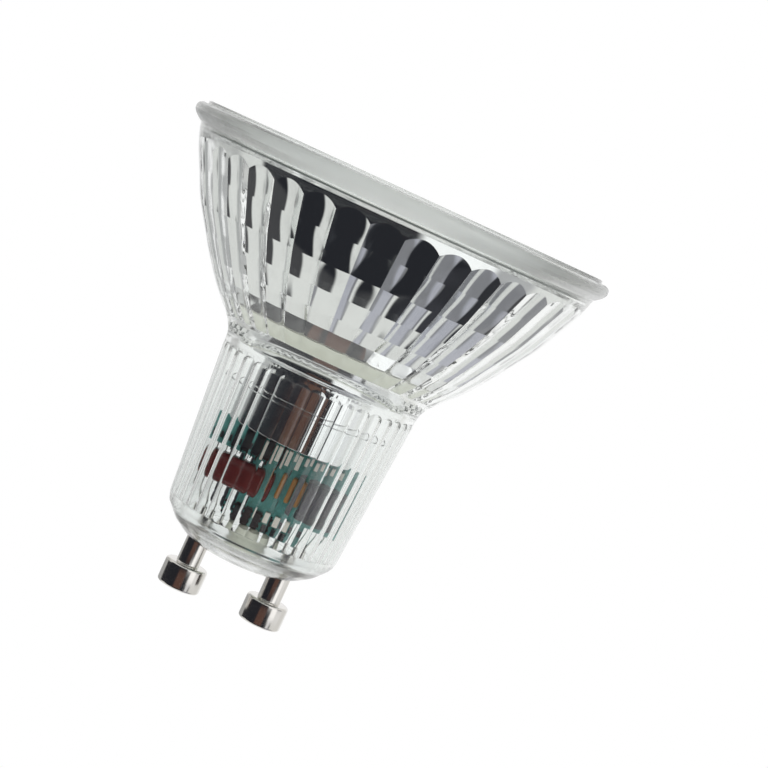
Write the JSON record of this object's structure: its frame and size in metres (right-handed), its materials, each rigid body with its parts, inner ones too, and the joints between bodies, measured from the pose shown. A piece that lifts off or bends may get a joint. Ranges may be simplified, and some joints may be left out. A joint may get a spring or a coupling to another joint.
{
  "type": "led spotlight bulb",
  "caption": "LED spotlight bulb in clear pressed glass with a fluted, faceted mirror bell, a clear ribbed neck showing the driver board, and a twist-and-lock two-pin base.",
  "frame": {"origin": "centre between the two contact pins on the underside of the glass base, where the pins come out", "axes": "+Z along the lamp axis towards the light, X along the line of the two contact pins, so the pins point to -Z"},
  "size_m": [0.05, 0.05, 0.0512],
  "materials": {
    "clear_glass": "clear pressed glass, very slightly green",
    "lens_plastic": "clear moulded cover, polished",
    "mirror_film": "vacuum-deposited reflective film",
    "adhesive": "cured pale adhesive, satin",
    "bright_aluminium": "drawn and polished",
    "white_board": "white solder mask, satin",
    "white_ceramic": "matt",
    "phosphor": "yellow, satin",
    "white_plastic": "moulded, matt",
    "tinned_metal": "tinned, bright",
    "clear_plastic": "clear extruded tube",
    "green_board": "green solder mask, gloss",
    "maroon_epoxy": "dipped epoxy, gloss",
    "ferrite": "black, matt",
    "copper_wire": "enamelled, semi-gloss",
    "resistor_paint": "lacquered, gloss",
    "black_epoxy": "moulded epoxy, matt",
    "dark_sleeve": "shrunk sleeve, semi-gloss",
    "chip_ceramic": "light ceramic, satin",
    "nickel": "nickel-plated, bright",
    "silicone": "translucent cast silicone, satin"
  },
  "bodies": {
    "root": {"glass_body": "clear_glass", "mirror_coating": "mirror_film", "front_lens": "lens_plastic", "lens_adhesive": "adhesive", "heat_sink_cup": "bright_aluminium", "source_board": "white_board", "led_substrate": "white_ceramic", "led_dam": "white_plastic", "led_phosphor": "phosphor", "terminal_left": "white_plastic", "terminal_right": "white_plastic", "link_pin_left": "tinned_metal", "link_pin_right": "tinned_metal", "insulation_tube": "clear_plastic", "driver_board": "green_board", "film_capacitor": "maroon_epoxy", "inductor_core": "ferrite", "inductor_winding": "copper_wire", "fuse_resistor": "resistor_paint", "bridge_rectifier": "black_epoxy", "driver_ic": "black_epoxy", "bulk_capacitor": "dark_sleeve", "ceramic_chips": "chip_ceramic", "chip_resistors": "black_epoxy", "contact_pin_left": "nickel", "contact_pin_right": "nickel", "pin_washer_left": "tinned_metal", "pin_washer_right": "tinned_metal", "supply_wire_left": "tinned_metal", "supply_wire_right": "tinned_metal", "silicone_blob": "silicone", "cup_adhesive": "silicone"}
  },
  "joints": []
}
